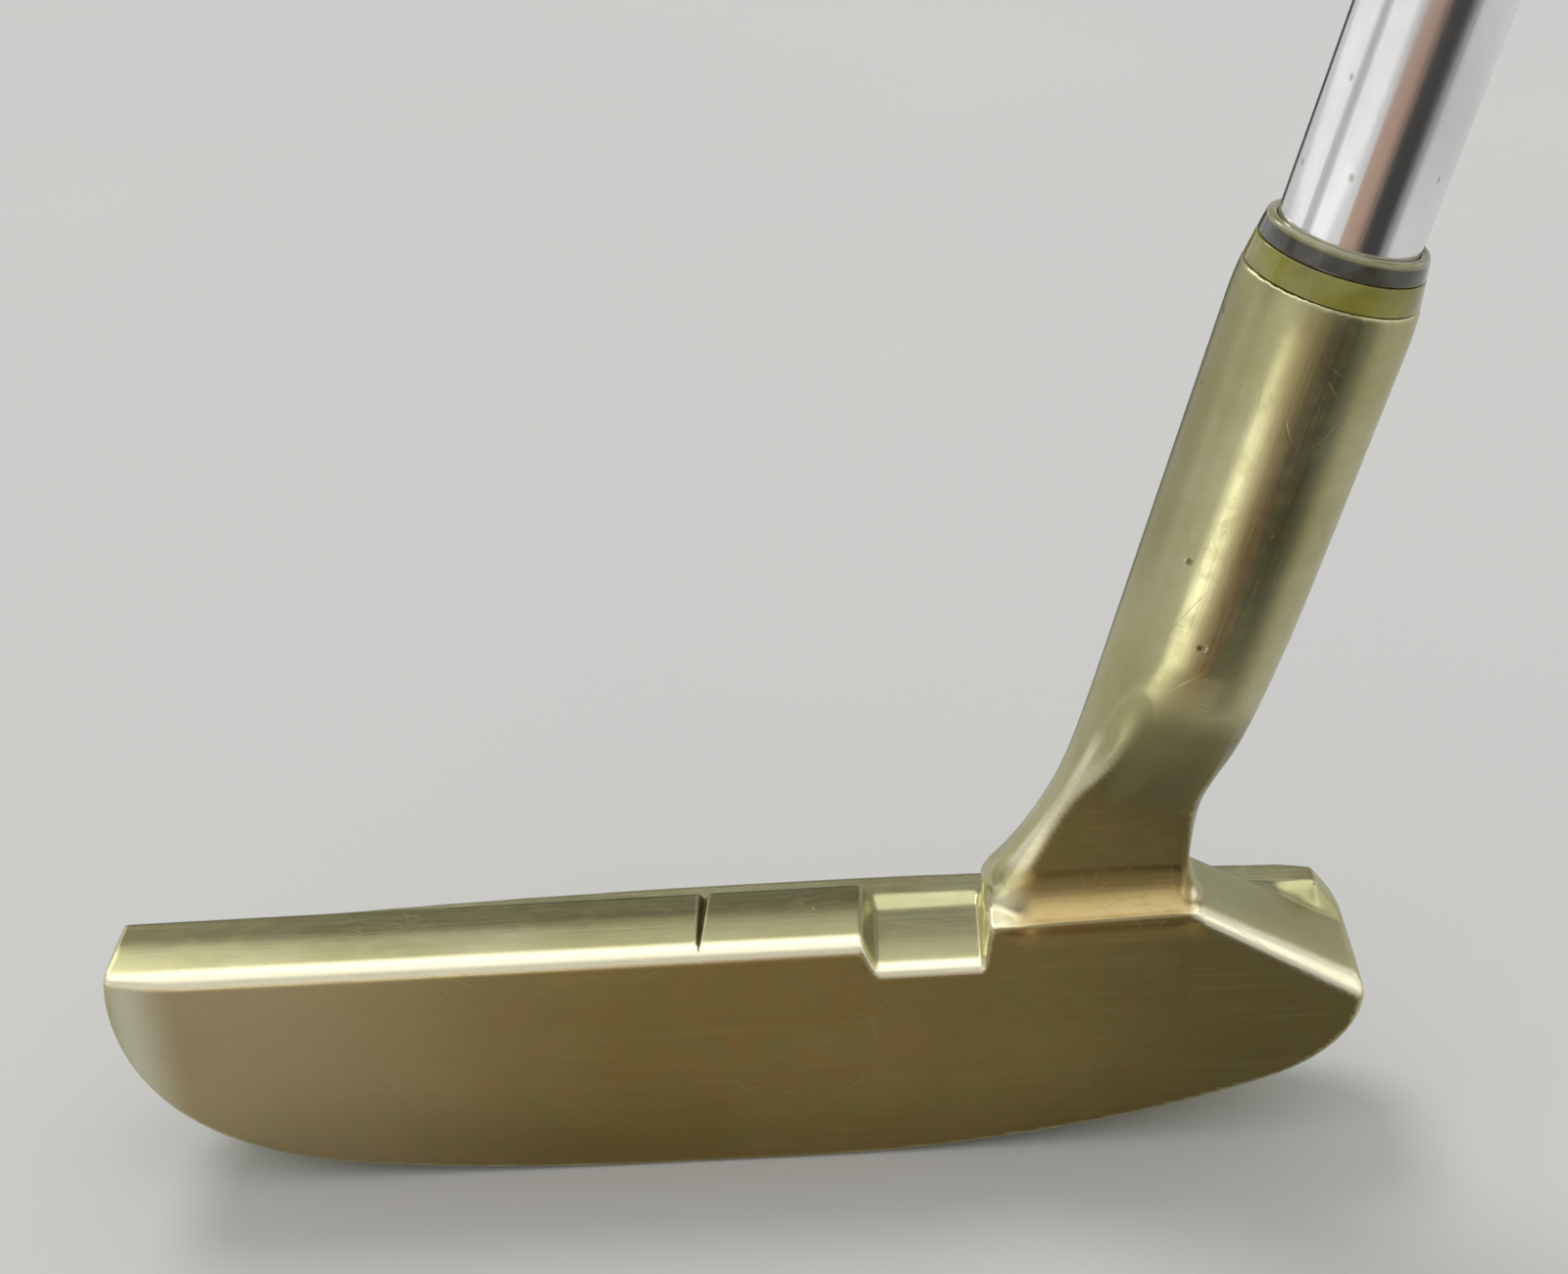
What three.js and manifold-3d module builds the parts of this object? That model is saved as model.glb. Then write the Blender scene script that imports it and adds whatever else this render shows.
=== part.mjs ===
// Blade putter, right-handed, standing on its sole at address.
//
// Frame: +X from toe to heel, +Y from the striking face to the back, +Z up, millimetres.
// The origin is the centre of the flat on the sole. The shaft lies in a plane parallel to XZ.
//
// The head is designed in "blade" coordinates: x from the toe, y back from the top edge of
// the face, z up from the top line. Everything on the shaft is designed along the shaft's
// own axis: u is the distance up that axis from the level of the top line.

import * as THREE from 'three';
import { mergeVertices } from 'three/addons/utils/BufferGeometryUtils.js';
import Module from 'manifold-3d';

const wasm = await Module();
wasm.setup();

const rad = THREE.MathUtils.degToRad;

// ---------------------------------------------------------------- driving dimensions (mm)
const CLUB_LENGTH = 889;          // 35 inches, measured up the shaft axis from the ground
const LIE = rad(71.9);            // shaft to the ground
const LOFT = rad(3);              // face leaning back from vertical

const SOLE_DEPTH = 23.4;          // top line down to the sole
const SOLE_FLAT_X = [48, 62];     // flat stretch of the sole, in blade x
const BLADE_THICKNESS = 8.6;      // top line, front to back
const RAMP_BACK = 10.2;           // back edge of the ramp between top line and rear bar
const HEAD_DEPTH = 13.2;          // face to the back of the rear bar
const BAR = { drop: 2.35, middle: 60, fall: 0.00047 };    // arched rear bar, below the top line
const BACK_ROUND = 1.6;           // rounding of the back's rim

const NOTCH = { left: 68.1, floorLeft: 69.2, floorRight: 78.7, right: 79.4, depth: 2.9 };
const NECK_SHELF = { start: 79.4, startUp: 0.8, end: 97.7, endUp: 1.3 };
const HEEL_TIP = { x: 112.2, drop: 7.2 };
const BAR_END_X = 109.5;          // where the rear bar's top turns down at the heel

const SIGHT_LINE = { x: 53.6, frontWidth: 0.6, backWidth: 1.3, frontDepth: 0.6, backDepth: 1.5 };

const AXIS_FOOT = { x: 89.7, y: 5 };              // shaft axis at the level of the top line
const HOSEL = { low: 20, lowRadius: 7.1, high: 56.5, highRadius: 7.4, top: 59.7, rimRadius: 7.05 };
const BORE = { radius: 6.15, bottom: 31 };

const SHAFT = { radius: 5.7, wall: 0.55, tip: 32, steps: 9, stepRise: 0.19, firstStep: 215, stepPitch: 38 };
const FERRULE_AMBER = { bottom: 59.8, height: 2.2, innerRadius: 5.85, lowRadius: 6.98, topRadius: 6.72 };
const FERRULE_BLACK = { bottom: 62.1, height: 2.3, innerRadius: 5.85, lowRadius: 6.66, topRadius: 6.2 };

const GRIP_LENGTH = 267;          // 10.5 inches
const GRIP_LEATHER = 1.5;
const CAP_THICKNESS = 4;

const ROUND = 32;                 // sides of a turned piece

// ---------------------------------------------------------------- derived places
const LEAN = Math.PI / 2 - LIE;
const AXIS_GROUND = -SOLE_DEPTH / Math.cos(LEAN);       // u where the axis meets the ground
const BUTT = AXIS_GROUND + CLUB_LENGTH;                 // u of the club's top end
const GRIP_FOOT = BUTT - GRIP_LENGTH;
const SHAFT_BUTT = BUTT - CAP_THICKNESS - 0.3;
const SHAFT_BUTT_RADIUS = SHAFT.radius + SHAFT.steps * SHAFT.stepRise;

const soleMiddle = (SOLE_FLAT_X[0] + SOLE_FLAT_X[1]) / 2;
const HEAD_PLACE = new THREE.Vector3(-soleMiddle, -6.3, SOLE_DEPTH);

// ---------------------------------------------------------------- materials
function metal(color, roughness) {
  return new THREE.MeshStandardMaterial({ color, roughness, metalness: 1 });
}

function plain(color, roughness) {
  return new THREE.MeshStandardMaterial({ color, roughness, metalness: 0 });
}

const MATERIALS = {
  brass: metal(0xb5a15a, 0.28),
  chrome: metal(0xd4d6d8, 0.08),
  amber: plain(0xb8a83a, 0.15),
  black: plain(0x15150f, 0.2),
  epoxy: plain(0xcfc7a0, 0.5),
  cork: plain(0xb98a55, 0.9),
  wood: plain(0xa87d4c, 0.8),
  underlist: plain(0x2b2a28, 0.9),
  leather: plain(0x2a1c14, 0.6),
  rubber: plain(0x161616, 0.7),
  cap: plain(0x101010, 0.35),
  screw: metal(0xc9a94e, 0.3),
};

// ---------------------------------------------------------------- solids and booleans
function toSolid(geometry) {
  const bare = geometry.index ? geometry.toNonIndexed() : geometry.clone();
  bare.deleteAttribute('normal');
  bare.deleteAttribute('uv');
  const merged = mergeVertices(bare, 1e-4);
  const mesh = new wasm.Mesh({
    numProp: 3,
    vertProperties: new Float32Array(merged.attributes.position.array),
    triVerts: new Uint32Array(merged.index.array),
  });
  return new wasm.Manifold(mesh);
}

function toGeometry(solid) {
  const mesh = solid.getMesh();
  const geometry = new THREE.BufferGeometry();
  geometry.setAttribute('position', new THREE.BufferAttribute(mesh.vertProperties, 3));
  geometry.setIndex(new THREE.BufferAttribute(mesh.triVerts, 1));
  geometry.computeVertexNormals();
  return geometry;
}

// A closed skin through equal rings of points, with flat ends. Each ring runs
// anticlockwise as seen from the end that the rings advance towards.
function loft(rings) {
  const count = rings[0].length;
  const positions = rings.flat().flatMap((p) => [p.x, p.y, p.z]);
  const index = [];
  for (let r = 0; r + 1 < rings.length; r += 1) {
    for (let i = 0; i < count; i += 1) {
      const a = r * count + i;
      const b = r * count + (i + 1) % count;
      index.push(a, b, b + count, a, b + count, a + count);
    }
  }
  const last = (rings.length - 1) * count;
  for (let i = 1; i + 1 < count; i += 1) {
    index.push(0, i + 1, i);
    index.push(last, last + i, last + i + 1);
  }
  const geometry = new THREE.BufferGeometry();
  geometry.setAttribute('position', new THREE.Float32BufferAttribute(positions, 3));
  geometry.setIndex(index);
  return geometry;
}

// A turned ring or rod about the local Z axis, from (radius, height) points that close on
// themselves or start and end on the axis.
function turned(points) {
  const profile = points.map(([radius, height]) => new THREE.Vector2(radius, height));
  return new THREE.LatheGeometry(profile, ROUND).rotateX(Math.PI / 2);
}

function ring(innerRadius, outerRadius, bottom, top) {
  return turned([
    [innerRadius, bottom],
    [outerRadius, bottom],
    [outerRadius, top],
    [innerRadius, top],
    [innerRadius, bottom],
  ]);
}

function smooth(t) {
  const s = THREE.MathUtils.clamp(t, 0, 1);
  return (1 - Math.cos(Math.PI * s)) / 2;
}

// Moves a geometry from the shaft's frame (u along Z) into blade coordinates.
function alongShaft(geometry) {
  return geometry.rotateY(LEAN).translate(AXIS_FOOT.x, AXIS_FOOT.y, 0);
}

// ---------------------------------------------------------------- head: the blade
// Front view of the whole blade, square on top: the top cutter gives it its top.
function bladeOutline() {
  const above = 4;
  const shape = new THREE.Shape();
  shape.moveTo(0, above);
  shape.lineTo(0, 0);
  shape.bezierCurveTo(-2.2, -8.5, 2.5, -19.3, 20, -21.7);
  shape.bezierCurveTo(29, -22.95, 38, -SOLE_DEPTH, SOLE_FLAT_X[0], -SOLE_DEPTH);
  shape.lineTo(SOLE_FLAT_X[1], -SOLE_DEPTH);
  shape.bezierCurveTo(76, -SOLE_DEPTH, 93, -20.9, 104.3, -16.9);
  shape.bezierCurveTo(108.5, -15.4, HEEL_TIP.x, -12.2, HEEL_TIP.x, -8.4);
  shape.lineTo(HEEL_TIP.x, above);
  shape.closePath();
  return shape;
}

function bladeBlank() {
  const frontSpare = 4;
  const geometry = new THREE.ExtrudeGeometry(bladeOutline(), {
    depth: HEAD_DEPTH + frontSpare,
    curveSegments: 14,
    bevelEnabled: true,
    bevelSize: BACK_ROUND,
    bevelOffset: -BACK_ROUND,
    bevelThickness: BACK_ROUND,
    bevelSegments: 3,
  });
  geometry.rotateX(Math.PI / 2).translate(0, HEAD_DEPTH - BACK_ROUND, 0);
  return toSolid(geometry);
}

// Everything in front of the lofted face.
function faceCutter() {
  const size = 200;
  const box = new THREE.BoxGeometry(size * 2, size, size);
  box.translate(0, -size / 2, 0).rotateX(-LOFT);
  return toSolid(box);
}

// Height of the blade's front part, as corners from toe to heel: the top line, the step
// notch, the shelf under the neck and the heel slope.
const FRONT_TOP = [
  [-10, 0],
  [NOTCH.left, 0],
  [NOTCH.floorLeft, -NOTCH.depth],
  [NOTCH.floorRight, -NOTCH.depth],
  [NECK_SHELF.start, NECK_SHELF.startUp],
  [NECK_SHELF.end, NECK_SHELF.endUp],
  [HEEL_TIP.x, -HEEL_TIP.drop],
  [HEEL_TIP.x + 10, -HEEL_TIP.drop],
];

function frontTop(x) {
  const next = FRONT_TOP.findIndex(([corner]) => corner > x);
  if (next < 1) return FRONT_TOP[next === 0 ? 0 : FRONT_TOP.length - 1][1];
  const [x0, z0] = FRONT_TOP[next - 1];
  const [x1, z1] = FRONT_TOP[next];
  return THREE.MathUtils.lerp(z0, z1, (x - x0) / (x1 - x0));
}

// Height of the rear bar: a flat arch that turns down to the heel tip.
function barTop(x) {
  const arch = -BAR.drop - BAR.fall * (x - BAR.middle) ** 2;
  const turn = (x - BAR_END_X) / (HEEL_TIP.x - BAR_END_X);
  return THREE.MathUtils.lerp(arch, -HEEL_TIP.drop, THREE.MathUtils.clamp(turn, 0, 1));
}

// Everything above the blade: the front heights, the rear bar behind, and a straight ramp
// between the two.
function topCutter() {
  const roof = 40;
  const between = [5, 15, 25, 35, 45, 55, 62, 88, 103, BAR_END_X];
  const stations = [...FRONT_TOP.map(([x]) => x), ...between].sort((p, q) => p - q);
  const section = (y, height) => {
    const edge = stations.map((x) => new THREE.Vector3(x, y, height(x)));
    const right = new THREE.Vector3(HEEL_TIP.x + 10, y, roof);
    const left = new THREE.Vector3(-10, y, roof);
    return [left, right, ...edge.reverse()];
  };
  return toSolid(loft([
    section(-20, frontTop),
    section(BLADE_THICKNESS, frontTop),
    section(RAMP_BACK, barTop),
    section(HEAD_DEPTH + 20, barTop),
  ]));
}

// A filed V across the top line, shallow and narrow at the face, deeper at the back.
function sightLineCutter() {
  const above = 2;
  const section = (y, width, depth) => {
    const flare = (width / 2) * (1 + above / depth);
    return [
      new THREE.Vector3(SIGHT_LINE.x - flare, y, above),
      new THREE.Vector3(SIGHT_LINE.x + flare, y, above),
      new THREE.Vector3(SIGHT_LINE.x, y, -depth),
    ];
  };
  return toSolid(loft([
    section(-1.5, SIGHT_LINE.frontWidth, SIGHT_LINE.frontDepth),
    section(BLADE_THICKNESS + 1.5, SIGHT_LINE.backWidth, SIGHT_LINE.backDepth),
  ]));
}

// ---------------------------------------------------------------- head: neck and hosel
function hoselRadius(u) {
  const rim = (u - HOSEL.high) / (HOSEL.top - HOSEL.high);
  if (rim > 0) return THREE.MathUtils.lerp(HOSEL.highRadius, HOSEL.rimRadius, rim ** 2);
  const share = (u - HOSEL.low) / (HOSEL.high - HOSEL.low);
  return THREE.MathUtils.lerp(HOSEL.lowRadius, HOSEL.highRadius, Math.max(0, share));
}

// The neck is a block at the blade and turns into the round hosel on the way up. Its front
// and back are flat, its toe side flares down to the notch's wall with both corners taken
// off, and its heel side is hollowed. Distances are from the shaft axis.
const NECK = { front: 2.3, back: 3.6, toeWall: 79.2, backCorner: 0.85 };
const FLARE = { most: 3.6, reach: 6.5 };
const CORNER = { least: 0.45, more: 1.5, reach: 1.5 };
const HOLLOW = { across: 4.85, up: 10, taper: 0.07, curve: 0.05, most: 11 };
const TURN_ROUND = { toe: [6, 22], front: [5, 20], heel: [13, 20] };    // from block to round

function neckBlock(u) {
  const wall = (NECK.toeWall - AXIS_FOOT.x - u * Math.sin(LEAN)) / Math.cos(LEAN);
  const flare = FLARE.most * Math.exp(-u / FLARE.reach);
  const toe = Math.max(-hoselRadius(u) - flare, wall);
  const corner = CORNER.least + CORNER.more * Math.exp(-Math.max(0, u) / CORNER.reach);
  const below = Math.max(0, HOLLOW.up - u);
  const above = Math.max(0, u - HOLLOW.up);
  const heel = Math.min(HOLLOW.most, HOLLOW.across + HOLLOW.curve * below ** 2 + HOLLOW.taper * above);
  return [
    new THREE.Vector2(heel, -NECK.front),
    new THREE.Vector2(heel, NECK.back),
    new THREE.Vector2(toe + NECK.backCorner, NECK.back),
    new THREE.Vector2(toe, 0),
    new THREE.Vector2(toe + corner, -NECK.front),
  ];
}

function neckRing(u) {
  const perSide = 8;
  const radius = hoselRadius(u);
  const blockShare = ([low, high]) => 1 - smooth((u - low) / (high - low));
  const corners = neckBlock(u);
  const points = [];
  corners.forEach((from, i) => {
    const to = corners[(i + 1) % corners.length];
    for (let k = 0; k < perSide; k += 1) {
      const block = from.clone().lerp(to, k / perSide);
      const round = block.clone().setLength(radius);
      const { x: c, y: s } = block.clone().normalize();
      const side = blockShare(c < 0 ? TURN_ROUND.toe : TURN_ROUND.heel);
      const share = side * c * c + blockShare(TURN_ROUND.front) * s * s;
      const point = round.lerp(block, share);
      points.push(new THREE.Vector3(point.x, point.y, u));
    }
  });
  return points;
}

function neckAndHosel() {
  const neck = [-4, -2, 0, 2, 4, 6, 8, 10, 12, 14, 15.5, 17, 19, 21.5, 24];
  const hosel = [HOSEL.high, HOSEL.high + 1.6, HOSEL.high + 2.6, HOSEL.top];
  return toSolid(alongShaft(loft([...neck, ...hosel].map(neckRing))));
}

// Hollow fillet where the front of the neck meets the shelf.
function neckFillet() {
  const radius = 2.4;
  const buried = 1;
  const steps = 5;
  const front = AXIS_FOOT.y - NECK.front;
  const section = (x) => {
    const shelf = frontTop(x);
    const points = [new THREE.Vector3(x, front + buried, shelf - buried)];
    points.push(new THREE.Vector3(x, front + buried, shelf + radius));
    for (let i = 0; i <= steps; i += 1) {
      const angle = (Math.PI / 2) * (i / steps);
      const y = front - radius * (1 - Math.cos(angle));
      points.push(new THREE.Vector3(x, y, shelf + radius * (1 - Math.sin(angle))));
    }
    points.push(new THREE.Vector3(x, front - radius, shelf - buried));
    return points;
  };
  return toSolid(loft([section(NECK_SHELF.start + 0.6), section(NECK_SHELF.end - 0.4)]));
}

function hoselBore() {
  return toSolid(alongShaft(turned([
    [0, BORE.bottom],
    [BORE.radius, BORE.bottom],
    [BORE.radius, HOSEL.top + 1],
    [0, HOSEL.top + 1],
  ])));
}

function putterHead() {
  return toGeometry(
    bladeBlank()
      .subtract(faceCutter())
      .subtract(topCutter())
      .subtract(sightLineCutter())
      .add(neckAndHosel())
      .add(neckFillet())
      .subtract(hoselBore()),
  );
}

// ---------------------------------------------------------------- shaft and its fittings
// Outside profile of the steel tube, stepping up in diameter towards the butt.
function shaftTube() {
  const outside = [[SHAFT.radius, SHAFT.tip]];
  const inside = [[SHAFT.radius - SHAFT.wall, SHAFT.tip]];
  for (let i = 0; i < SHAFT.steps; i += 1) {
    const u = SHAFT.firstStep + i * SHAFT.stepPitch;
    const radius = SHAFT.radius + i * SHAFT.stepRise;
    const slope = 1.5;
    outside.push([radius, u], [radius + SHAFT.stepRise, u + slope]);
    inside.push([radius - SHAFT.wall, u], [radius + SHAFT.stepRise - SHAFT.wall, u + slope]);
  }
  outside.push([SHAFT_BUTT_RADIUS, SHAFT_BUTT]);
  inside.push([SHAFT_BUTT_RADIUS - SHAFT.wall, SHAFT_BUTT]);
  return turned([...outside, ...inside.reverse(), outside[0]]);
}

function taperedRing({ bottom, height, innerRadius, lowRadius, topRadius }, lip) {
  return turned([
    [innerRadius, bottom],
    [lowRadius, bottom],
    [topRadius, bottom + height - lip],
    [topRadius - lip, bottom + height],
    [innerRadius, bottom + height],
    [innerRadius, bottom],
  ]);
}

function shaftBond() {
  return ring(SHAFT.radius + 0.12, BORE.radius - 0.12, SHAFT.tip, HOSEL.top - 0.5);
}

function tipPlug() {
  const radius = SHAFT.radius - SHAFT.wall - 0.2;
  const length = 12;
  return turned([
    [0, SHAFT.tip + 0.5],
    [radius, SHAFT.tip + 0.5],
    [radius, SHAFT.tip + 0.5 + length],
    [0, SHAFT.tip + 0.5 + length],
  ]);
}

// ---------------------------------------------------------------- grip
// The grip is flat on its upper side (local -X, under the thumbs), rounded below, and
// swells towards the butt. share runs from 0 at its foot to 1 at the butt.
function gripSection(share, shrink) {
  const halfWidth = 9.6 + 3.4 * smooth(share * 1.1) - shrink;
  const flat = 9.2 + 2.2 * share - shrink;
  const belly = 10.4 + 2.6 * smooth(share) + 3.2 * smooth((share - 0.62) / 0.3) - shrink;
  return { halfWidth, flat, belly };
}

function gripRing(u, share, shrink) {
  const sides = 32;
  const { halfWidth, flat, belly } = gripSection(share, shrink);
  const points = [];
  for (let i = 0; i < sides; i += 1) {
    const angle = (2 * Math.PI * i) / sides;
    const c = Math.cos(angle);
    const s = Math.sin(angle);
    const power = c < 0 ? 4.5 : 2.2;
    const reach = c < 0 ? flat : belly;
    points.push(new THREE.Vector3(
      Math.sign(c) * reach * Math.abs(c) ** (2 / power),
      Math.sign(s) * halfWidth * Math.abs(s) ** (2 / power),
      u,
    ));
  }
  return points;
}

function gripBody(bottom, top, shrink) {
  const stations = 14;
  const rings = [];
  for (let i = 0; i <= stations; i += 1) {
    const u = THREE.MathUtils.lerp(bottom, top, i / stations);
    rings.push(gripRing(u, (u - GRIP_FOOT) / GRIP_LENGTH, shrink));
  }
  return toSolid(loft(rings));
}

const LEATHER_FOOT = GRIP_FOOT + 9;
const LEATHER_TOP = BUTT - CAP_THICKNESS - 0.3;
const UNDERLIST_GAP = 0.15;

function gripLeather() {
  const inside = gripBody(LEATHER_FOOT - 5, LEATHER_TOP + 5, GRIP_LEATHER);
  return toGeometry(gripBody(LEATHER_FOOT, LEATHER_TOP, 0).subtract(inside));
}

function gripUnderlist() {
  const hole = toSolid(turned([
    [0, LEATHER_FOOT - 5],
    [SHAFT_BUTT_RADIUS + 0.2, LEATHER_FOOT - 5],
    [SHAFT_BUTT_RADIUS + 0.2, LEATHER_TOP + 5],
    [0, LEATHER_TOP + 5],
  ]));
  const body = gripBody(LEATHER_FOOT + 0.3, LEATHER_TOP - 0.3, GRIP_LEATHER + UNDERLIST_GAP);
  return toGeometry(body.subtract(hole));
}

// Moulded sleeve that covers the lower end of the wrap and grips the shaft.
function gripCollar() {
  const lip = 1.2;
  const rings = [0, lip, LEATHER_FOOT - 0.3 - GRIP_FOOT].map((up) => {
    const shrink = up === 0 ? lip : 0;
    return gripRing(GRIP_FOOT + up, up / GRIP_LENGTH, shrink - 0.2);
  });
  const hole = toSolid(turned([
    [0, GRIP_FOOT - 2],
    [SHAFT_BUTT_RADIUS + 0.2, GRIP_FOOT - 2],
    [SHAFT_BUTT_RADIUS + 0.2, LEATHER_FOOT + 2],
    [0, LEATHER_FOOT + 2],
  ]));
  return toGeometry(toSolid(loft(rings)).subtract(hole));
}

const SCREW = { headRadius: 3.2, headDepth: 1.4, radius: 1.4, length: 18 };

function gripCap() {
  const edge = 1;
  const rings = [0, CAP_THICKNESS - edge, CAP_THICKNESS].map((up) => {
    const shrink = up === CAP_THICKNESS ? edge : -0.3;
    return gripRing(BUTT - CAP_THICKNESS + up, 1, shrink);
  });
  const counterbore = toSolid(turned([
    [0, BUTT - CAP_THICKNESS - 1],
    [SCREW.radius + 0.2, BUTT - CAP_THICKNESS - 1],
    [SCREW.radius + 0.2, BUTT - SCREW.headDepth - 0.2],
    [SCREW.headRadius + 0.2, BUTT - SCREW.headDepth - 0.2],
    [SCREW.headRadius + 0.2, BUTT + 1],
    [0, BUTT + 1],
  ]));
  return toGeometry(toSolid(loft(rings)).subtract(counterbore));
}

function capScrew() {
  return turned([
    [0, BUTT - SCREW.length],
    [0.5, BUTT - SCREW.length],
    [SCREW.radius, BUTT - SCREW.length + 4],
    [SCREW.radius, BUTT - SCREW.headDepth],
    [SCREW.headRadius, BUTT - SCREW.headDepth],
    [SCREW.headRadius, BUTT - 0.3],
    [0, BUTT - 0.1],
  ]);
}

// Wooden plug in the open end of the tube, drilled for the cap screw.
function buttPlug() {
  const radius = SHAFT_BUTT_RADIUS - SHAFT.wall - 0.2;
  const pilot = SCREW.radius + 0.1;
  const blind = BUTT - SCREW.length - 1;
  const length = 30;
  return turned([
    [0, SHAFT_BUTT - length],
    [radius, SHAFT_BUTT - length],
    [radius, SHAFT_BUTT],
    [pilot, SHAFT_BUTT],
    [pilot, blind],
    [0, blind],
  ]);
}

// ---------------------------------------------------------------- assembly
function piece(name, geometry, material) {
  const mesh = new THREE.Mesh(geometry, material);
  mesh.name = name;
  return mesh;
}

const head = piece('putter_head', putterHead(), MATERIALS.brass);
head.position.copy(HEAD_PLACE);

const onShaft = new THREE.Group();
onShaft.position.set(AXIS_FOOT.x, AXIS_FOOT.y, 0).add(HEAD_PLACE);
onShaft.rotation.y = LEAN;
onShaft.add(
  piece('shaft', shaftTube(), MATERIALS.chrome),
  piece('ferrule_amber', taperedRing(FERRULE_AMBER, 0.05), MATERIALS.amber),
  piece('ferrule_black', taperedRing(FERRULE_BLACK, 0.3), MATERIALS.black),
  piece('shaft_bond', shaftBond(), MATERIALS.epoxy),
  piece('tip_plug', tipPlug(), MATERIALS.cork),
  piece('butt_plug', buttPlug(), MATERIALS.wood),
  piece('grip_underlist', gripUnderlist(), MATERIALS.underlist),
  piece('grip_leather', gripLeather(), MATERIALS.leather),
  piece('grip_collar', gripCollar(), MATERIALS.rubber),
  piece('grip_cap', gripCap(), MATERIALS.cap),
  piece('cap_screw', capScrew(), MATERIALS.screw),
);

const putter = new THREE.Group();
putter.add(head, onShaft);

export default putter;
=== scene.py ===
"""Looks of the blade putter: a fine mesh for every visible piece, with procedural materials.

The head is designed in blade coordinates, in millimetres: x from the toe, y back from the top
edge of the face, z up from the top line. Pieces on the shaft use the shaft's own frame: u is
the distance up the axis from the level of the top line.
"""
import math

import bpy
import numpy as np
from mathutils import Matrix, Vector


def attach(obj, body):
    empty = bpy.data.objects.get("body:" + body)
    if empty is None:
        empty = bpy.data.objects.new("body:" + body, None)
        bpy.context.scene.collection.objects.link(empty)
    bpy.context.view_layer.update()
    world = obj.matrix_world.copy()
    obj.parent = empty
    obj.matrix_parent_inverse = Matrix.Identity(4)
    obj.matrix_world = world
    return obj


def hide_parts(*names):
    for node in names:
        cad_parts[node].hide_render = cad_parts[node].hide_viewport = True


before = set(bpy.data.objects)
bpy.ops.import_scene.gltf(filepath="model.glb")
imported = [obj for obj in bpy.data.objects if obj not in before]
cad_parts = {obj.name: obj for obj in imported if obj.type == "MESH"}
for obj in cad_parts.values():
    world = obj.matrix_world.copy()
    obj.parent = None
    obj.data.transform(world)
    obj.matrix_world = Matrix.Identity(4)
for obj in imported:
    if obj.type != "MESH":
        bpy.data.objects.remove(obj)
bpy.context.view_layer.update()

MM = 0.001

# ------------------------------------------------------------------ dimensions (mm)
CLUB_LENGTH = 889
LEAN_DEGREES = 18.1
LEAN = math.radians(LEAN_DEGREES)
LOFT = math.radians(3)

SOLE_DEPTH = 23.4
BLADE_THICKNESS = 8.6
RAMP_BACK = 10.2
HEAD_DEPTH = 13.2
HEEL_X = 112.2
HEEL_DROP = 7.2
BAR_END_X = 109.5
FOOT_X = 89.7
FOOT_Y = 5
HEAD_PLACE = np.array([-55, -6.3, SOLE_DEPTH])

NOTCH_DEPTH = 2.9
SIGHT_X = 53.6
BORE_RADIUS = 6.15
BORE_BOTTOM = 31
HOSEL_TOP = 59.7

SHAFT_RADIUS = 5.7
SHAFT_TIP = 32
SHAFT_WALL = 0.55
STEPS = 9
STEP_RISE = 0.19
FIRST_STEP = 215
STEP_PITCH = 38

BUTT = CLUB_LENGTH - SOLE_DEPTH / math.cos(LEAN)
GRIP_LENGTH = 267
GRIP_FOOT = BUTT - GRIP_LENGTH
LEATHER_FOOT = GRIP_FOOT + 9
CAP_THICKNESS = 4
LEATHER_TOP = BUTT - CAP_THICKNESS - 0.3
SHAFT_TOP = BUTT - CAP_THICKNESS - 0.3


# ------------------------------------------------------------------ small helpers
def smooth(t):
    s = np.clip(t, 0, 1)
    return (1 - np.cos(np.pi * s)) / 2


def lerp(a, b, t):
    return a + (b - a) * t


def round_max(a, b, radius):
    """Intersection of two distances, its convex edge rounded."""
    corner = np.hypot(np.maximum(a + radius, 0), np.maximum(b + radius, 0))
    return np.minimum(-radius, np.maximum(a, b)) + corner


def round_min(a, b, radius):
    """Union of two distances, its hollow edge filleted."""
    corner = np.hypot(np.maximum(radius - a, 0), np.maximum(radius - b, 0))
    return np.maximum(radius, np.minimum(a, b)) - corner


def graded(*runs):
    """Grid lines from (start, stop, step) runs that follow each other."""
    lines = [np.arange(start, stop - step / 2, step) for start, stop, step in runs]
    return np.concatenate(lines + [[runs[-1][1]]])


def bezier(start, *controls, count=22):
    t = np.linspace(0, 1, count + 1)[1:, None]
    a, b, c, d = (np.array(p, float) for p in (start, *controls))
    return (1 - t) ** 3 * a + 3 * (1 - t) ** 2 * t * b + 3 * (1 - t) * t * t * c + t ** 3 * d


# ------------------------------------------------------------------ head: blade
def blade_outline():
    above = 30
    low = -SOLE_DEPTH
    pieces = [
        [(0, above), (0, 0)],
        bezier((0, 0), (-2.2, -8.5), (2.5, -19.3), (20, -21.7)),
        bezier((20, -21.7), (29, -22.95), (38, low), (48, low)),
        [(62, low)],
        bezier((62, low), (76, low), (93, -20.9), (104.3, -16.9)),
        bezier((104.3, -16.9), (108.5, -15.4), (HEEL_X, -12.2), (HEEL_X, -8.4)),
        [(HEEL_X, above)],
    ]
    return np.concatenate([np.array(piece, float) for piece in pieces])


OUTLINE = blade_outline()


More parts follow.
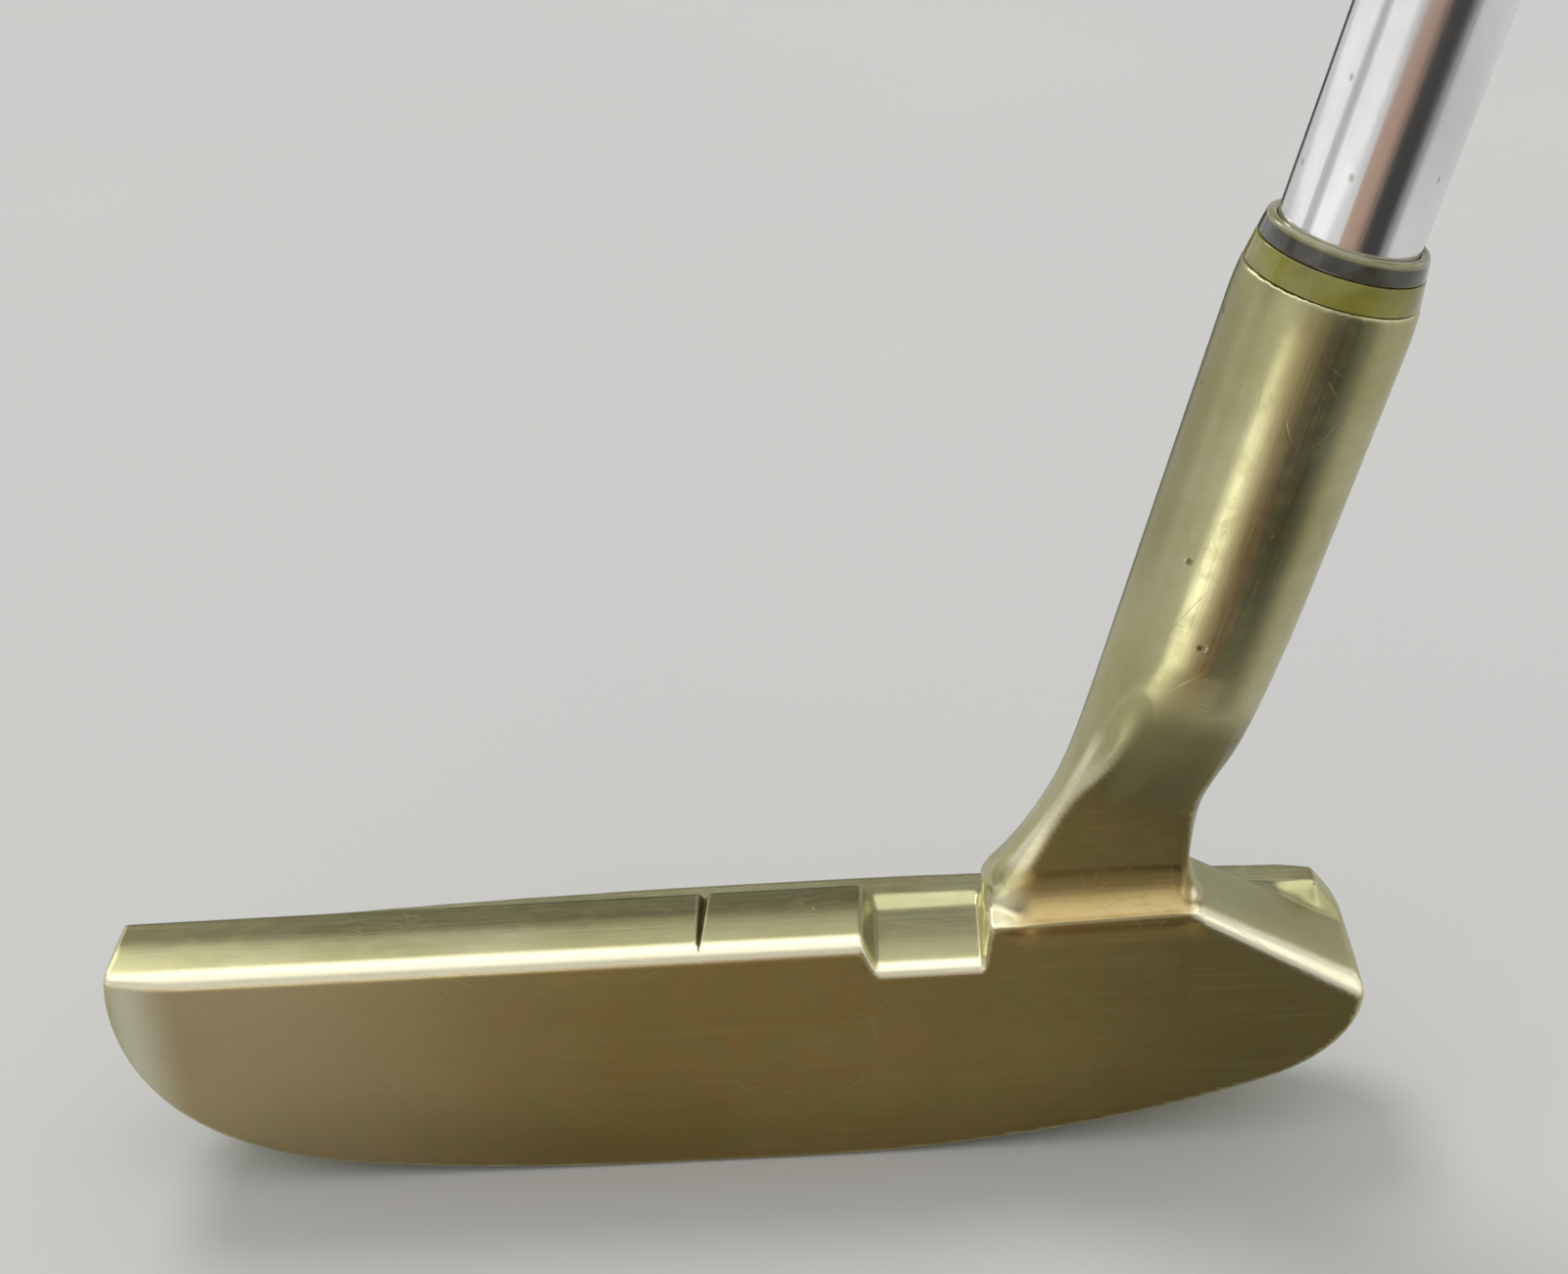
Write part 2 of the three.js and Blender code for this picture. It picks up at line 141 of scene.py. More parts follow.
def outline_distance(x, z):
    nearest = np.full(np.broadcast(x, z).shape, 1e9)
    inside = np.zeros(nearest.shape, bool)
    for (ax, az), (bx, bz) in zip(OUTLINE, np.roll(OUTLINE, -1, axis=0)):
        ex, ez = bx - ax, bz - az
        t = np.clip(((x - ax) * ex + (z - az) * ez) / (ex * ex + ez * ez), 0, 1)
        nearest = np.minimum(nearest, (x - ax - t * ex) ** 2 + (z - az - t * ez) ** 2)
        if az != bz:
            crosses = (az > z) != (bz > z)
            inside ^= crosses & (x < ax + (z - az) * ex / ez)
    return np.where(inside, -1, 1) * np.sqrt(nearest)


# Along x, the height of the top at its front edge, with the notch and the foot of the neck, and
# the size of the bevel on that edge.
FRONT_TOP = np.array([
    (-10, 0), (68.1, 0), (69.2, -NOTCH_DEPTH), (78.7, -NOTCH_DEPTH), (79.4, 0.8), (97.7, 1.3),
    (HEEL_X, -HEEL_DROP), (HEEL_X + 10, -HEEL_DROP),
])
CHAMFER = np.array([
    (-10, 0.85), (67.5, 0.85), (69, 0.5), (78.6, 0.5), (79.6, 0.15), (96.8, 0.15),
    (98.2, 0.85), (HEEL_X + 10, 0.85),
])
FIELD_STEP = 0.1
FIELD_X = np.arange(-6, 120, FIELD_STEP)
FIELD_Y = np.arange(-6, 20, FIELD_STEP)


def bar_top(x):
    arch = -2.35 - 0.00047 * (x - 60) ** 2
    return lerp(arch, -HEEL_DROP, np.clip((x - BAR_END_X) / (HEEL_X - BAR_END_X), 0, 1))


def blurred(field, sigma):
    reach = np.arange(-8, 9)
    kernel = np.exp(-0.5 * (reach * FIELD_STEP / sigma) ** 2)
    kernel /= kernel.sum()
    for axis in (0, 1):
        pad = [(8, 8) if i == axis else (0, 0) for i in (0, 1)]
        spread = np.pad(field, pad, mode="edge")
        field = np.apply_along_axis(lambda line: np.convolve(line, kernel, "valid"), axis, spread)
    return field


def top_field():
    """Height of the blade's top over x and y, with softened edges."""
    x = FIELD_X[:, None]
    y = FIELD_Y[None, :]
    front = np.interp(x, *FRONT_TOP.T)
    crown = 0.009 * np.clip(6 - y, 0, 7) ** 2
    back = smooth((y - BLADE_THICKNESS) / (RAMP_BACK - BLADE_THICKNESS) * 0.94 + 0.03)
    share = np.clip((y - BLADE_THICKNESS) / (RAMP_BACK - BLADE_THICKNESS), 0, 1)
    share = lerp(share, back, 0.25)
    return blurred(lerp(front - crown, bar_top(x), share), 0.17)


TOP = top_field()
TOP_SLOPE = np.sqrt(1 + sum(g ** 2 for g in np.gradient(TOP, FIELD_STEP)))


def sampled(field, x, y, first_y=FIELD_Y[0]):
    i = np.clip((x - FIELD_X[0]) / FIELD_STEP, 0, field.shape[0] - 1.001)
    j = np.clip((y - first_y) / FIELD_STEP, 0, field.shape[1] - 1.001)
    i0 = i.astype(int)
    j0 = j.astype(int)
    a = i - i0
    b = j - j0
    low = field[i0, j0] * (1 - a) + field[i0 + 1, j0] * a
    high = field[i0, j0 + 1] * (1 - a) + field[i0 + 1, j0 + 1] * a
    return low * (1 - b) + high * b


FIELD_Z = np.arange(-30, 12, FIELD_STEP)
OUTLINE_FIELD = outline_distance(FIELD_X[:, None], FIELD_Z[None, :])


def face_distance(y, z):
    return z * math.sin(LOFT) - y * math.cos(LOFT)


def blade(x, y, z):
    outline = sampled(OUTLINE_FIELD, x, z, FIELD_Z[0])
    toe_turn = 0.009 * np.maximum(7 - x, 0) ** 2
    rim = round_max(outline, face_distance(y, z) + toe_turn, 0.6)
    body = round_max(rim, y - HEAD_DEPTH, 1.5)
    height = sampled(TOP, x, y)
    slope = sampled(TOP_SLOPE, x, y)
    chamfer = (z - height - y + np.interp(x, *CHAMFER.T)) * math.sqrt(0.5)
    body = round_max(body, (z - height) / slope, lerp(0.22, 0.9, smooth((x - 106) / 4)))
    shelf = smooth((x - 80) / 2) * smooth((98 - x) / 2)
    return round_max(body, chamfer, lerp(0.36, 0.8, shelf))


# ------------------------------------------------------------------ head: neck and hosel
def hosel_radius(u):
    """It widens a little on the way up, and the rim turns in again."""
    rim = np.clip((u - 56.5) / (HOSEL_TOP - 56.5), 0, 1)
    return lerp(7.1, 7.4, np.clip((u - 20) / 36.5, 0, 1)) - 0.2 * rim ** 2


def eased(knots, count=40):
    """A table of (u, value) knots with its corners smoothed."""
    knots = np.array(knots, float)
    u = np.linspace(knots[0, 0], knots[-1, 0], count)
    value = np.interp(u, *knots.T)
    kernel = np.array([1, 2, 3, 2, 1]) / 9
    value[2:-2] = np.convolve(value, kernel, "valid")
    return np.stack([u, value], axis=1)


# How far things lie from the axis at heights up it: the flat of the scoop in the front of the
# neck, the narrow flat beside it on the toe side, and the wall on the heel side.
SCOOP_DEPTH = eased([
    (-4, 2.3), (6, 2.3), (9, 2.6), (12, 3.3), (15.2, 4.6), (18, 5.95), (20, 6.85), (22.5, 7.5), (27, 8.6),
])
TOE_FLAT = eased([
    (-4, 7.7), (1, 7), (4, 6.6), (7, 6.35), (12, 6.4), (16, 6.5), (20, 6.7), (24, 7.15), (28, 7.7),
])
HEEL_WALL = eased([
    (-4, 11.6), (0, 8.5), (3, 6.9), (5, 6.2), (7, 5.75), (9, 5.6), (12, 5.5), (14, 5.55), (15.5, 5.8),
    (18, 6.25), (21, 6.55), (25.5, 6.95), (30, 7.15), (36, 7.6),
])


def around_axis(x, y, z):
    """Blade coordinates to shaft coordinates: u up the axis, w towards the heel, v back."""
    along = x - FOOT_X
    u = along * math.sin(LEAN) + z * math.cos(LEAN)
    w = along * math.cos(LEAN) - z * math.sin(LEAN)
    return u, w, y - FOOT_Y


def toe_flat(u, w, v):
    return -0.62 * w - 0.785 * v - np.interp(u, *TOE_FLAT.T)


def neck_sides(u, w, v):
    """The round hosel as it turns into the block that stands on the blade."""
    radius = hosel_radius(u)
    heel = np.interp(u, *HEEL_WALL.T)
    narrowing = np.where((w > 0) & (u > 12), radius / np.minimum(heel, radius), 1)
    barrel = np.hypot(w * narrowing, v) - radius

    toe = radius + 3.6 * np.exp(-np.maximum(u, -4) / 6.5)
    taken = 0.45 + 1.5 * np.exp(-np.maximum(u, 0) / 1.5)
    toe_front = (-w - toe - np.minimum(v, 0) * taken / 2.3) * 0.94
    toe_back = (-w - toe + np.maximum(v, 0) * 0.24) * 0.97
    block = round_max(np.maximum(toe_front, toe_back), v - 3.6, 0.8)
    block = round_max(block, w - 11, 0.5)
    across = w * w / np.maximum(w * w + v * v, 1e-6)
    share = (1 - smooth((u - 5) / 15)) * np.where((w > 0) & (u > 4), smooth((9 - u) / 5), 1)
    return lerp(barrel, block, lerp(share, 1 - smooth((u - 2) / 9), 1 - across))


def neck(x, y, z):
    u, w, v = around_axis(x, y, z)
    shape = neck_sides(u, w, v)
    heel = np.interp(u, *HEEL_WALL.T)
    wall = (w - heel - 0.3 * smooth((u - 15) / 3)) * 0.95
    shape = round_max(shape, wall, lerp(0.35, 1.2, smooth((u - 13) / 4)))
    shape = round_max(shape, toe_flat(u, w, v), 0.07)
    depth = np.interp(u, *SCOOP_DEPTH.T)
    facet = (w - heel - v - depth + lerp(0.1, 1.5, smooth((u - 6) / 8))) * math.sqrt(0.5)
    scoop = round_max(facet, -v - depth, 0.35)
    soft = lerp(0.7, 2.8, smooth((u - 2) / 12))
    crisp = smooth((-w - 2.5) / 3) * smooth((22 - u) / 6)
    shape = round_max(shape, scoop, lerp(soft, 0.8, crisp))
    notch_wall = (79.1 - x) * 0.98 + np.maximum(-z, 0) * 0.18
    shape = round_max(shape, notch_wall, 1.1)
    shape = round_max(shape, -5 - u, 0.3)
    return round_max(shape, u - HOSEL_TOP, 0.14)


def bore(x, y, z):
    u, w, v = around_axis(x, y, z)
    return np.maximum(np.hypot(w, v) - BORE_RADIUS, BORE_BOTTOM - u)


def sight_line(x, y, z):
    share = np.clip(y / BLADE_THICKNESS, 0, 1)
    half = lerp(0.22, 0.46, share)
    depth = lerp(0.55, 1.3, share)
    v_cut = (np.abs(x - SIGHT_X - 0.02 * y) - half * (1 + z / depth)) * 0.9
    return np.maximum(v_cut, y - BLADE_THICKNESS - 1.2)


def head(x, y, z):
    front = smooth(5 - y)
    fillet = lerp(0.9, 4.2, front * smooth((x - 80) / 4) * smooth((99.5 - x) / 4))
    solid = round_min(blade(x, y, z), neck(x, y, z), fillet)
    solid = np.maximum(solid, -sight_line(x, y, z))
    return np.maximum(solid, -bore(x, y, z))


# ------------------------------------------------------------------ meshing
def surface_net(values, lines):
    """Quads around the zero level of values on a grid with the given lines."""
    inside = values < 0
    shape = np.array(values.shape) - 1
    corners = [(i, j, k) for i in (0, 1) for j in (0, 1) for k in (0, 1)]
    full = sum(
        inside[i:i + shape[0], j:j + shape[1], k:k + shape[2]].astype(np.int8) for i, j, k in corners
    )
    active = (full > 0) & (full < 8)
    number = np.full(tuple(shape), -1)
    number[active] = np.arange(active.sum())
    cells = np.argwhere(active)
    total = np.zeros((len(cells), 3))
    hits = np.zeros(len(cells))
    quads = []
    for axis in range(3):
        unit = np.eye(3, dtype=int)
        step, side, other = unit[axis], unit[(axis + 1) % 3], unit[(axis + 2) % 3]
        for a in (0, 1):
            for b in (0, 1):
                low = cells + a * side + b * other
                high = low + step
                v0 = values[tuple(low.T)]
                v1 = values[tuple(high.T)]
                cross = (v0 < 0) != (v1 < 0)
                t = np.where(cross, v0 / np.where(cross, v0 - v1, 1), 0)[:, None]
                p0 = np.stack([lines[d][low[:, d]] for d in range(3)], axis=1)
                p1 = np.stack([lines[d][high[:, d]] for d in range(3)], axis=1)
                total += np.where(cross[:, None], p0 + t * (p1 - p0), 0)
                hits += cross
        first = np.take(inside, range(shape[axis]), axis)
        second = np.take(inside, range(1, shape[axis] + 1), axis)
        edges = np.argwhere(first != second)
        within = ((edges > 0) | (unit[axis] == 1)) & ((edges < shape) | (unit[axis] == 1))
        edges = edges[within.all(axis=1)]
        around = [edges - side - other, edges - other, edges, edges - side]
        quad = np.stack([number[tuple(cell.T)] for cell in around], axis=1)
        outward = first[tuple(edges.T)]
        quads.append(np.where(outward[:, None], quad, quad[:, ::-1]))
    return total / hits[:, None], np.concatenate(quads)


def gradient(shape, points, step=0.02):
    x, y, z = points.T
    return np.stack([
        shape(x + step, y, z) - shape(x - step, y, z),
        shape(x, y + step, z) - shape(x, y - step, z),
        shape(x, y, z + step) - shape(x, y, z - step),
    ], axis=1) / (2 * step)


def settle(shape, points, rounds=3):
    """Moves points onto the surface along the shape's gradient."""
    for _ in range(rounds):
        slope = gradient(shape, points)
        size = np.maximum((slope ** 2).sum(axis=1), 0.2)
        move = np.clip(shape(*points.T) / size, -0.25, 0.25)
        points = points - move[:, None] * slope
    return points


def bend(shape, points, reach=0.45):
    """How sharply the surface bends: above 0 on convex edges, below 0 in hollows."""
    x, y, z = points.T
    spread = shape(x + reach, y, z) + shape(x - reach, y, z)
    spread = spread + shape(x, y + reach, z) + shape(x, y - reach, z)
    spread = spread + shape(x, y, z + reach) + shape(x, y, z - reach)
    return spread / reach


def add_mesh(name, points, faces, material, *, attributes=None, sharp=None):
    """A mesh object from points in metres; faces are index rows or lists."""
    mesh = bpy.data.meshes.new(name)
    mesh.from_pydata(np.asarray(points).tolist(), [], [list(map(int, f)) for f in faces])
    mesh.validate()
    for key, values in (attributes or {}).items():
        layer = mesh.attributes.new(key, "FLOAT", "POINT")
        layer.data.foreach_set("value", np.asarray(values, np.float32))
    mesh.shade_smooth()
    if sharp:
        mesh.set_sharp_from_angle(angle=math.radians(sharp))
    mesh.materials.append(material)
    piece = bpy.data.objects.new(name, mesh)
    bpy.context.scene.collection.objects.link(piece)
    return piece


def head_marks(points):
    """How sharp, rubbed or stained the brass is at each point, and where highlight, reflection and shade
    are painted into its colour; 0 is not at all.
    """
    x, y, z = points.T
    u, w, v = around_axis(x, y, z)
    curve = bend(head, points)
    slope = gradient(head, points)
    forward = -slope[:, 1]
    upward = slope[:, 2]

    # the milled face; the bevel along its top edge, rubbed bright and given a painted highlight; and the
    # tarnished line below that
    face = smooth((forward - 0.9) / 0.09) * (z < 3)
    face = face * smooth((0.6 - np.abs(face_distance(y, z))) / 0.4)
    leg = np.interp(x, *CHAMFER.T)
    below = np.interp(x, *FRONT_TOP.T) - leg - z
    tilted = smooth((forward - 0.3) / 0.25) * smooth((upward - 0.3) / 0.25)
    band = smooth((below + leg + 0.9) / 0.4) * smooth((1.5 - below) / 0.5)
    bevel = tilted * band * smooth((leg - 0.25) / 0.2) * smooth((3 - y) / 0.6)
    along_edge = np.interp(x, [60, 69, 78, 84], [0.5, 1, 1, 0.3])
    under_edge = face * smooth((1.1 - below) / 0.9) * along_edge

    # the toe side of the neck: a ridge, the narrow flat beside it and the corner at its foot, each given a
    # painted highlight
    off_flat = np.abs(toe_flat(u, w, v))
    off_side = np.abs(neck_sides(u, w, v))
    ridge = smooth((0.3 - off_flat) / 0.22) * smooth((0.3 - off_side) / 0.22)
    ridge = ridge * smooth((-w - 5.2) / 0.6) * smooth((u - 1) / 2) * smooth((19 - u) / 4)
    on_flat = smooth((0.5 - off_flat) / 0.3) * smooth((-w - 1) / 2)
    flat = 0.5 * on_flat * smooth((u - 1) / 2) * smooth((18 - u) / 6)
    corner = np.exp(-((x - 80.4) ** 2 + 0.6 * (z - 0.9) ** 2 + 0.5 * (y - 1.4) ** 2) / 1.8)
    corner = 0.8 * corner * (1 - face)

    # painted reflection: orange and olive bands along the hosel, placed by the angle around it from the
    # front
    angle = np.degrees(np.arctan2(w, -v))
    on_hosel = smooth((u - 19) / 8)
    orange = 0.75 * on_hosel * smooth((53 - u) / 16) * np.exp(-((angle + 3) / 9) ** 2)
    olive = np.exp(-((angle - 17) / 13) ** 2) * smooth((58 - u) / 20)
    toe_side = smooth((-angle - 54) / 14) * smooth((130 + angle) / 30) * smooth((u - 26) / 12)
    olive = on_hosel * np.maximum(olive, 0.7 * toe_side)

    # the dull back of the top line, the front of the neck, the upper part of its scoop darkened as painted
    # shade, and the fillet at its foot, tinted as a painted reflection
    in_notch = (x > 68.6) & (x < 79.5)
    behind = np.where(in_notch, 0.2 * smooth((y - 1.5) / 3), smooth((y - 3.6) / 2.2))
    top_back = smooth((upward - 0.8) / 0.15) * smooth(2 - z) * smooth((10.2 - y) / 1.2)
    top_back = top_back * behind * smooth((81 - x) / 1.5)
    scoop_top = smooth((u - 10) / 4) * smooth((25 - u) / 5) * smooth((w + 5) / 2)
    scoop_top = scoop_top * smooth((forward - 0.35) / 0.4)
    neck_front = smooth((x - 80.5) / 2.5) * smooth((23 - u) / 8) * smooth((forward - 0.25) / 0.5)
    neck_front = neck_front * smooth((z - 0.2) / 3.2) * (1 - 0.8 * on_flat)
    fillet = smooth((x - 80) / 3) * smooth((99 - x) / 2) * smooth((5.5 - z) / 5)
    fillet = fillet * smooth((z + 1.9) / 0.8) * smooth(4 - y) * smooth((y + 0.5) / 0.8)

    groove = smooth((0.06 - np.abs(sight_line(x, y, z))) / 0.05) * (z < -0.03) * (z > -3)
    return {
        "edge": np.clip(curve * 0.9, 0, 1),
        "hollow": np.clip(-curve * 0.9, 0, 1),
        "paler": np.maximum.reduce([bevel, ridge, flat, corner]),
        "face": np.maximum(face, neck_front),
        "tarnish_and_painted_reflection": np.maximum.reduce([fillet, under_edge, orange]),
        "dull_and_painted_shade": np.maximum.reduce([top_back, 0.75 * olive, 1.25 * scoop_top]),
        "groove": groove,
    }


def fine_head(material):
    # grid lines along x, y and z, closer together where the shape is finer
    lines = [
        graded((-2, 52.4, 0.42), (52.4, 54.9, 0.16), (54.9, 67.2, 0.42), (67.2, 69.9, 0.22),
               (69.9, 77.8, 0.4), (77.8, 83, 0.25), (83, 116.8, 0.36)),
        graded((-3.1, -1.6, 0.3), (-1.6, 1.8, 0.2), (1.8, 7.4, 0.36), (7.4, 11, 0.24), (11, 14.2, 0.3)),
        graded((-24.6, -22, 0.3), (-22, -8, 0.42), (-8, -4, 0.34), (-4, 2.6, 0.19), (2.6, 20, 0.36),
               (20, 53.5, 0.5), (53.5, 60.8, 0.26)),
    ]
    x, y, z = np.meshgrid(*lines, indexing="ij", sparse=True)
    points, quads = surface_net(head(x, y, z), lines)
    points = settle(head, points)
    placed = (points + HEAD_PLACE) * MM
    return add_mesh("head_brass", placed, quads, material, attributes=head_marks(points))


# ------------------------------------------------------------------ pieces on the shaft
def on_shaft(points):
    """Shaft coordinates in millimetres to the shared frame in metres."""
    x, y, u = np.asarray(points, float).T
    placed = np.stack([
        FOOT_X + x * math.cos(LEAN) + u * math.sin(LEAN),
        FOOT_Y + y,
        u * math.cos(LEAN) - x * math.sin(LEAN),
    ], axis=1)
    return (placed + HEAD_PLACE) * MM


def rounded(profile, radius, count=4):
    """A closed profile with each corner turned into a small curve."""
    points = np.array(profile, float)
    result = []
    for before, corner, after in zip(np.roll(points, 1, axis=0), points, np.roll(points, -1, axis=0)):
        back = before - corner
        ahead = after - corner
        reach = min(radius, 0.45 * np.linalg.norm(back), 0.45 * np.linalg.norm(ahead))
        start = corner + back / np.linalg.norm(back) * reach
        end = corner + ahead / np.linalg.norm(ahead) * reach
        for t in np.linspace(0, 1, count):
            result.append((1 - t) ** 2 * start + 2 * (1 - t) * t * corner + t * t * end)
    return result


def ring_faces(rings, sides):
    """Quads of a skin through rings that close on themselves."""
    faces = []
    for r in range(rings):
        low = r * sides
        high = (r + 1) % rings * sides
        for i in range(sides):
            j = (i + 1) % sides
            faces.append((low + i, low + j, high + j, high + i))
    return faces


def turned(name, profile, material, sides=96, sharp=50):
    """A turned ring from a closed (radius, u) profile, anticlockwise."""
    angles = np.arange(sides) * 2 * np.pi / sides
    points = [(r * math.cos(a), r * math.sin(a), u) for r, u in profile for a in angles]
    return add_mesh(name, on_shaft(points), ring_faces(len(profile), sides), material, sharp=sharp)


def fine_shaft(material):
    outside = [(SHAFT_RADIUS, SHAFT_TIP)]
    for i in range(STEPS):
        u = FIRST_STEP + i * STEP_PITCH
        radius = SHAFT_RADIUS + i * STEP_RISE
        share = np.linspace(0, 1, 5)
        outside += list(zip(radius + STEP_RISE * smooth(share), u + 1.6 * share))
    outside.append((SHAFT_RADIUS + STEPS * STEP_RISE, SHAFT_TOP))
    inside = [(r - SHAFT_WALL, u) for r, u in reversed(outside)]
    return turned("shaft_chrome", outside + inside, material, sharp=60)


def fine_ferrules(amber, black):
    lower = rounded([(5.85, 59.78), (7.14, 59.78), (6.82, 62.0), (5.85, 62.0)], 0.1)
    upper = rounded([
        (5.73, 62.06), (6.78, 62.06), (6.62, 63.1), (6.5, 63.75), (6.15, 63.95), (5.73, 63.8),
    ], 0.2, 5)
    return [turned("ferrule_lower", lower, amber, 128), turned("ferrule_upper", upper, black, 128)]


# ------------------------------------------------------------------ grip
GRIP_SIDES = 128


def grip_ring(u, shrink):
    share = (u - GRIP_FOOT) / GRIP_LENGTH
    angle = np.arange(GRIP_SIDES) * 2 * np.pi / GRIP_SIDES
    c = np.cos(angle)
    s = np.sin(angle)
    half_width = 9.6 + 3.4 * smooth(share * 1.1) - shrink
    flat = 9.2 + 2.2 * share - shrink
    belly = 10.4 + 2.6 * smooth(share) + 3.2 * smooth((share - 0.62) / 0.3) - shrink
    power = np.where(c < 0, 4.5, 2.2)
    reach = np.where(c < 0, flat, belly)
    x = np.sign(c) * reach * np.abs(c) ** (2 / power)
    y = np.sign(s) * half_width * np.abs(s) ** (2 / power)
    return np.stack([x, y, np.full_like(x, u)], axis=1)


def round_ring(u, radius):
    angle = np.arange(GRIP_SIDES) * 2 * np.pi / GRIP_SIDES
    return np.stack([radius * np.cos(angle), radius * np.sin(angle), np.full_like(angle, u)], axis=1)


WRAP_PITCH = 17.5
HOLES_AROUND = 18
ROWS_OF_HOLES = 5


def wrapped_ring(u):
    """One ring of the wound strip: each turn's lower edge lies over the turn below."""
    turn = (u - LEATHER_FOOT) / WRAP_PITCH - np.arange(GRIP_SIDES) / GRIP_SIDES
    across = turn - np.floor(turn)
    lap = 0.55 * (1 - across) * smooth(across / 0.035)
    crown = 0.22 * np.sin(np.pi * across)
    seam = -0.5 * np.exp(-((across - 0.012) / 0.018) ** 2)
    ends = smooth((u - LEATHER_FOOT) / 1.2) * smooth((LEATHER_TOP - u) / 1.2)
    return grip_ring(u, 0), (lap + crown + seam - 0.35) * ends - 0.5 * (1 - ends)


def fine_leather(material):
    heights = np.linspace(LEATHER_FOOT, LEATHER_TOP, 520)
    rings = []
    for u in heights:
        ring, relief = wrapped_ring(u)
        outward = ring[:, :2] / np.linalg.norm(ring[:, :2], axis=1)[:, None]
        ring[:, :2] += outward * relief[:, None]
        rings.append(ring)
    inner = [grip_ring(u, 1.5) for u in (LEATHER_TOP, LEATHER_FOOT)]
    points = np.concatenate(rings + inner)
    faces = ring_faces(len(heights) + 2, GRIP_SIDES)
    piece = add_mesh("leather_wrap", on_shaft(points), faces, material, sharp=70)
    layer = piece.data.uv_layers.new(name="strip")
    uv = []
    every = list(heights) + [LEATHER_TOP, LEATHER_FOOT]
    for r in range(len(every)):
        low = every[r]
        high = every[(r + 1) % len(every)]
        for i in range(GRIP_SIDES):
            for u, step in ((low, 0), (low, 1), (high, 1), (high, 0)):
                around = (i + step) / GRIP_SIDES
                uv += [around * HOLES_AROUND, (u - LEATHER_FOOT) / WRAP_PITCH - around]
    layer.data.foreach_set("uv", uv)
    return piece


def fine_collar(material):
    top = LEATHER_FOOT - 0.3
    length = top - GRIP_FOOT
    bore_radius = 7.7
    rings = [round_ring(GRIP_FOOT + 0.2, bore_radius)]
    for share in np.linspace(0, 1, 48):
        u = GRIP_FOOT + share * length
        nose = 1.5 * (1 - math.sin(math.pi / 2 * min(1, share / 0.16)))
        ribs = 0.28 * smooth(math.cos(2 * math.pi * share * 4.5) * 3) * (0.22 < share < 0.92)
        tail = 0.6 * max(0, (share - 0.94) / 0.06) ** 2
        rings.append(grip_ring(u, nose + ribs + tail - 0.2))
    rings += [round_ring(top, bore_radius), round_ring(GRIP_FOOT + length / 2, bore_radius)]
    points = on_shaft(np.concatenate(rings))
    return add_mesh("collar_sleeve", points, ring_faces(len(rings), GRIP_SIDES), material, sharp=60)


def fine_cap(material):
    low = BUTT - CAP_THICKNESS
    seat = BUTT - 1.6
    sunk_radius = 3.4
    hole_radius = 1.6
    rings = [grip_ring(low, 0.3)]
    for share in np.linspace(0, 1, 10):
        rings.append(grip_ring(low + 0.5 + share * (CAP_THICKNESS - 1.6), -0.3 + 0.25 * (1 - share) ** 4))
    for angle in np.linspace(0.12, 1, 8) * math.pi / 2:
        rings.append(grip_ring(BUTT - 1.1 + 1.1 * math.sin(angle), -0.3 + 1.3 * (1 - math.cos(angle))))
    for share in np.linspace(0.04, 1, 44):
        rim = 0.45 * smooth((share - 0.18) / 0.04) * (1 - smooth((share - 0.78) / 0.04))
        groove = 0.22 * smooth(math.cos(share * 2 * math.pi * 8.5) * 2.5) * (0.26 < share < 0.7)
        edge = grip_ring(BUTT, 1.0)
        hole = round_ring(BUTT, 3.5)
        ring = lerp(edge, hole, share)
        ring[:, 2] -= rim * 0.5 + groove
        rings.append(ring)
    rings += [round_ring(BUTT - 0.2, sunk_radius), round_ring(seat, sunk_radius)]
    rings += [round_ring(seat, hole_radius), round_ring(low, hole_radius)]
    points = on_shaft(np.concatenate(rings))
    return add_mesh("butt_cap", points, ring_faces(len(rings), GRIP_SIDES), material, sharp=40)


def screw(x, y, z):
    """Slotted wood screw, z from the butt's face."""
    head_radius = 3.2
    tip = -18
    across = np.hypot(x, y)
    dome = np.sqrt(across ** 2 + (z + 9.3) ** 2) - 9.2
    disc = round_max(across - head_radius, -1.4 - z, 0.1)
    disc = round_max(disc, dome, 0.25)
    slot = np.maximum(np.abs(x * 0.8 + y * 0.6) - 0.42, -0.95 - z)
    disc = round_max(disc, -slot, 0.08)
    shank = np.maximum(across - np.interp(z, [tip, tip + 4], [0.4, 1.4]), tip - z)
    return np.minimum(disc, np.maximum(shank, z + 1.2))


def fine_screw(material):
    lines = [graded((-3.5, 3.5, 0.11)), graded((-3.5, 3.5, 0.11)), graded((-18.5, -2, 0.4), (-2, 0.3, 0.1))]
    x, y, z = np.meshgrid(*lines, indexing="ij", sparse=True)
    points, quads = surface_net(screw(x, y, z), lines)
    points = settle(screw, points, rounds=2)
    points[:, 2] += BUTT
    return add_mesh("screw_slotted", on_shaft(points), quads, material, sharp=50)


